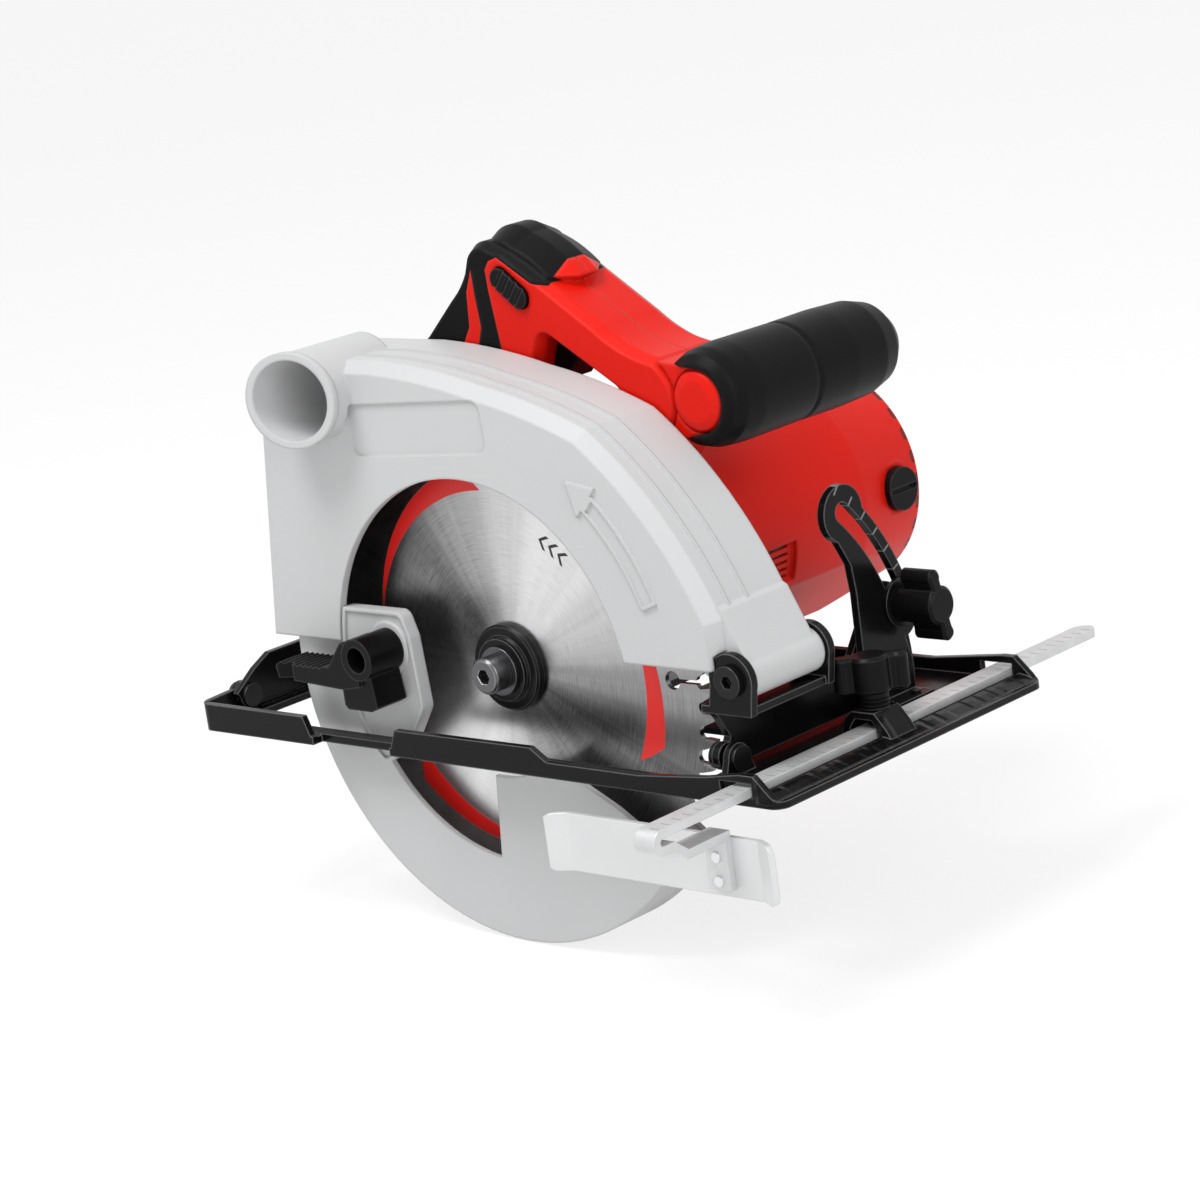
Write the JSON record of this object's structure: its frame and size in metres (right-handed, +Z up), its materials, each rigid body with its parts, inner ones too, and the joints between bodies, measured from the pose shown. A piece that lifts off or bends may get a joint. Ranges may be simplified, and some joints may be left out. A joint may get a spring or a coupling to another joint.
{
  "type": "circular saw",
  "caption": "Hand-held circular saw with a bevelling base plate, swinging depth hinge, sprung lower blade guard, side motor, D handle, front grip and a sliding rip guide.",
  "frame": {"origin": "sole plane under the arbor, in the middle plane of the blade", "axes": "+X cutting direction, +Y from the blade towards the motor's end, +Z up from the sole"},
  "size_m": [0.2895, 0.244, 0.2423],
  "materials": {
    "black_steel": "satin",
    "zinc_steel": "satin",
    "dark_steel": "satin",
    "spring_steel": "satin",
    "cast_aluminium": "satin",
    "black_plastic": "matte",
    "blade_steel": "brushed",
    "carbide": "satin",
    "gear_steel": "satin",
    "bearing_steel": "polished",
    "fan_plastic": "matte",
    "lamination_steel": "matte",
    "copper": "satin",
    "brass": "satin",
    "carbon": "matte",
    "red_plastic": "satin",
    "black_rubber": "matte"
  },
  "bodies": {
    "base": {"base_plate": "black_steel", "bevel_quadrant": "black_steel", "quadrant_rivets": "zinc_steel", "tilt_pins": "zinc_steel"},
    "bracket": {"front_bracket": "black_steel", "rear_bracket": "black_steel", "depth_guide": "black_steel", "guide_rivets": "zinc_steel", "pivot_pin": "dark_steel"},
    "saw": {"upper_guard": "cast_aluminium", "guard_ring": "dark_steel", "guard_spring": "spring_steel", "spindle_bearing": "bearing_steel", "needle_bearing": "bearing_steel", "gear_housing": "cast_aluminium", "front_bearing": "bearing_steel", "rear_bearing": "bearing_steel", "stator_core": "lamination_steel", "field_windings": "copper", "brush_holders": "brass", "carbon_brushes": "carbon", "brush_caps": "black_plastic", "motor_housing": "red_plastic", "near_handle_half": "red_plastic", "far_handle_half": "red_plastic", "handle_screws": "dark_steel", "grip_cover": "black_rubber", "cord_gland": "black_plastic", "trigger_pin": "dark_steel", "trigger_spring": "spring_steel", "power_switch": "fan_plastic", "aux_core": "red_plastic", "aux_grip": "black_rubber", "depth_clamp_bolt": "zinc_steel"},
    "spindle": {"saw_blade": "blade_steel", "carbide_tips": "carbide", "inner_flange": "dark_steel", "outer_flange": "dark_steel", "blade_washer": "dark_steel", "blade_bolt": "dark_steel", "spindle": "dark_steel", "spindle_gear": "gear_steel"},
    "armature": {"motor_pinion": "gear_steel", "armature_shaft": "gear_steel", "cooling_fan": "fan_plastic", "armature_core": "lamination_steel", "armature_windings": "copper", "commutator": "copper"},
    "lower_guard": {"lower_guard": "cast_aluminium", "guard_lever": "black_plastic", "lever_screw": "dark_steel"},
    "trigger": {"trigger": "black_plastic"},
    "lock_button": {"lock_button": "black_plastic"},
    "depth_lever": {"depth_clamp_lever": "black_plastic"},
    "rip_guide": {"rip_guide": "zinc_steel", "fence_plate": "zinc_steel", "fence_rivets": "zinc_steel"},
    "wing_screw": {"wing_screw": "black_plastic"},
    "bevel_clamp": {"bevel_clamp_bolt": "dark_steel"},
    "bevel_knob": {"bevel_knob": "black_plastic"}
  },
  "joints": [
    {"name": "bevel_tilt", "type": "hinge", "parent": "base", "child": "bracket", "pos_m": [0, -0.008, 0.008], "axis": [1, 0, 0], "range_deg": [0, 45]},
    {"name": "depth_swing", "type": "hinge", "parent": "bracket", "child": "saw", "pos_m": [0.113, 0, 0.036], "axis": [0, 1, 0], "range_deg": [0, 30]},
    {"name": "spindle_spin", "type": "hinge", "parent": "saw", "child": "spindle", "pos_m": [0, 0, 0.028], "axis": [0, 1, 0], "continuous": true},
    {"name": "armature_spin", "type": "hinge", "parent": "saw", "child": "armature", "pos_m": [0.00839, 0, 0.05461], "axis": [0, 1, 0], "continuous": true},
    {"name": "lower_guard_swing", "type": "hinge", "parent": "saw", "child": "lower_guard", "pos_m": [0, 0, 0.028], "axis": [0, 1, 0], "range_deg": [0, 110], "stiffness_Nm_per_rad": 0.12, "springref_deg": -91.67},
    {"name": "trigger_squeeze", "type": "hinge", "parent": "saw", "child": "trigger", "pos_m": [-0.006, 0.04, 0.143], "axis": [0, -1, 0], "range_deg": [0, 8], "stiffness_Nm_per_rad": 0.6, "springref_deg": -6.88, "deforming": ["trigger_spring"]},
    {"name": "lock_press", "type": "slide", "parent": "saw", "child": "lock_button", "axis": [0, 1, 0], "range_m": [0, 0.003], "stiffness_N_per_m": 400, "springref_m": -0.002},
    {"name": "depth_lever_turn", "type": "hinge", "parent": "saw", "child": "depth_lever", "pos_m": [-0.09205, 0, 0.01626], "axis": [0, 1, 0], "range_deg": [0, 50]},
    {"name": "rip_guide_slide", "type": "slide", "parent": "base", "child": "rip_guide", "axis": [0, 1, 0], "range_m": [-0.09, 0.003]},
    {"name": "wing_screw_turn", "type": "hinge", "parent": "base", "child": "wing_screw", "pos_m": [0.1242, 0.041, 0], "axis": [0, 0, 1], "continuous": true},
    {"name": "bevel_clamp_travel", "type": "hinge", "parent": "base", "child": "bevel_clamp", "pos_m": [0, -0.008, 0.008], "axis": [1, 0, 0], "range_deg": [0, 27.2]},
    {"name": "bevel_knob_turn", "type": "hinge", "parent": "bevel_clamp", "child": "bevel_knob", "pos_m": [0, 0.07845, 0.03642], "axis": [1, 0, 0], "continuous": true}
  ],
  "couplings": [
    {"joint": "armature_spin", "follows": "spindle_spin", "ratio": -3.1333},
    {"joint": "bevel_clamp_travel", "follows": "bevel_tilt", "ratio": 0.60444}
  ]
}
